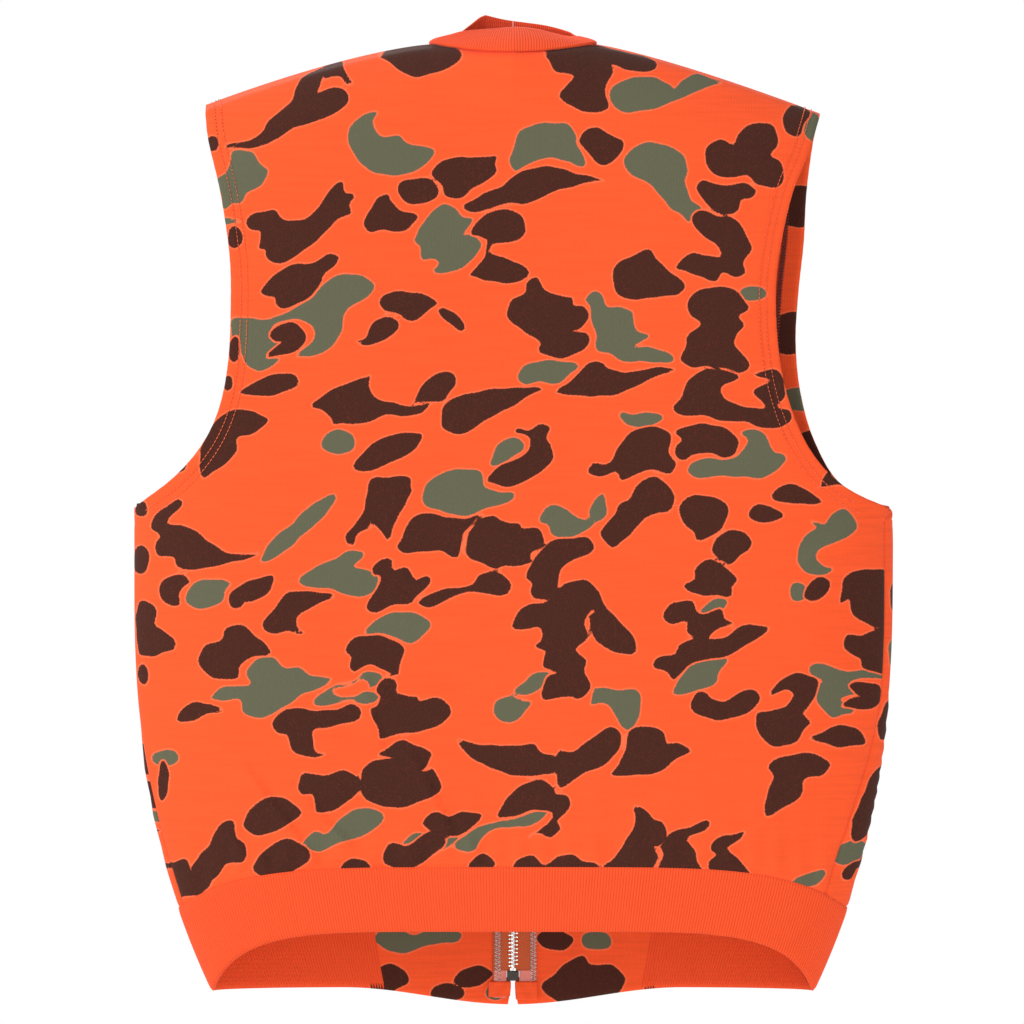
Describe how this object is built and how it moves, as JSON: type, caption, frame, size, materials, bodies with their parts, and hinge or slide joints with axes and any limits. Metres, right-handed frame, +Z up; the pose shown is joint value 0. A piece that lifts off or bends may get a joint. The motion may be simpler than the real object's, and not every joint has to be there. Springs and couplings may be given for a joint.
{
  "type": "hunting vest",
  "caption": "Sleeveless hunting vest of printed orange fleece knit, with rib collar and waistband and a separating metal zip.",
  "frame": {"origin": "middle of the back neck seam, where the hanger or the wearer's neck carries the vest", "axes": "+Z up, +Y out of the zipped front, -Y out of the back, +X to the wearer's right"},
  "size_m": [0.572, 0.0978, 0.7464],
  "materials": {
    "printed_fleece": "fleece-backed jersey, blaze orange, printed with dark brown and grey-green camouflage shapes",
    "rib_knit": "one by one rib knit, blaze orange",
    "stay_tape": "woven cotton tape",
    "zip_tape": "woven polyester zip tape, brown orange",
    "end_film": "thin translucent film welded to the end of a zip tape",
    "zip_metal": "bright aluminium, stamped and polished",
    "dark_metal": "blackened pressed metal"
  },
  "bodies": {
    "root": {"back_panel": "printed_fleece", "left_front_side": "printed_fleece", "right_front_side": "printed_fleece", "neck_tape": "stay_tape", "left_shoulder_tape": "stay_tape", "right_shoulder_tape": "stay_tape", "collar_back": "rib_knit", "waistband_back": "rib_knit"},
    "left_front": {"left_front_flap": "printed_fleece", "left_collar": "rib_knit", "left_waistband_front": "rib_knit", "left_band_end": "printed_fleece", "left_zip_tape": "zip_tape", "left_zip_teeth": "zip_metal", "left_top_stop": "zip_metal", "insertion_pin": "zip_metal", "left_zip_film": "end_film"},
    "right_front": {"right_front_flap": "printed_fleece", "right_collar": "rib_knit", "right_waistband_front": "rib_knit", "right_band_end": "printed_fleece", "right_zip_tape": "zip_tape", "right_zip_teeth": "zip_metal", "right_top_stop": "zip_metal", "retainer_pin": "zip_metal", "retainer_box": "dark_metal", "right_zip_film": "end_film"},
    "slider": {"zip_slider": "zip_metal"},
    "tab": {"pull_tab": "zip_metal"}
  },
  "joints": [
    {"name": "left_front_opens", "type": "hinge", "parent": "root", "child": "left_front", "pos_m": [-0.054, 0.0475, -0.0166], "axis": [0.1869, 0, 0.9824], "range_deg": [0, 140]},
    {"name": "right_front_opens", "type": "hinge", "parent": "root", "child": "right_front", "pos_m": [0.054, 0.0475, -0.0166], "axis": [0.1869, 0, -0.9824], "range_deg": [0, 140]},
    {"name": "zip_slide", "type": "slide", "parent": "right_front", "child": "slider", "axis": [0, 0, 1], "range_m": [-0.629, 0], "deforming": ["left_zip_teeth", "right_zip_teeth"]},
    {"name": "tab_swing", "type": "hinge", "parent": "slider", "child": "tab", "pos_m": [0, 0.04845, -0.0535], "axis": [1, 0, 0], "range_deg": [0, 170]}
  ]
}
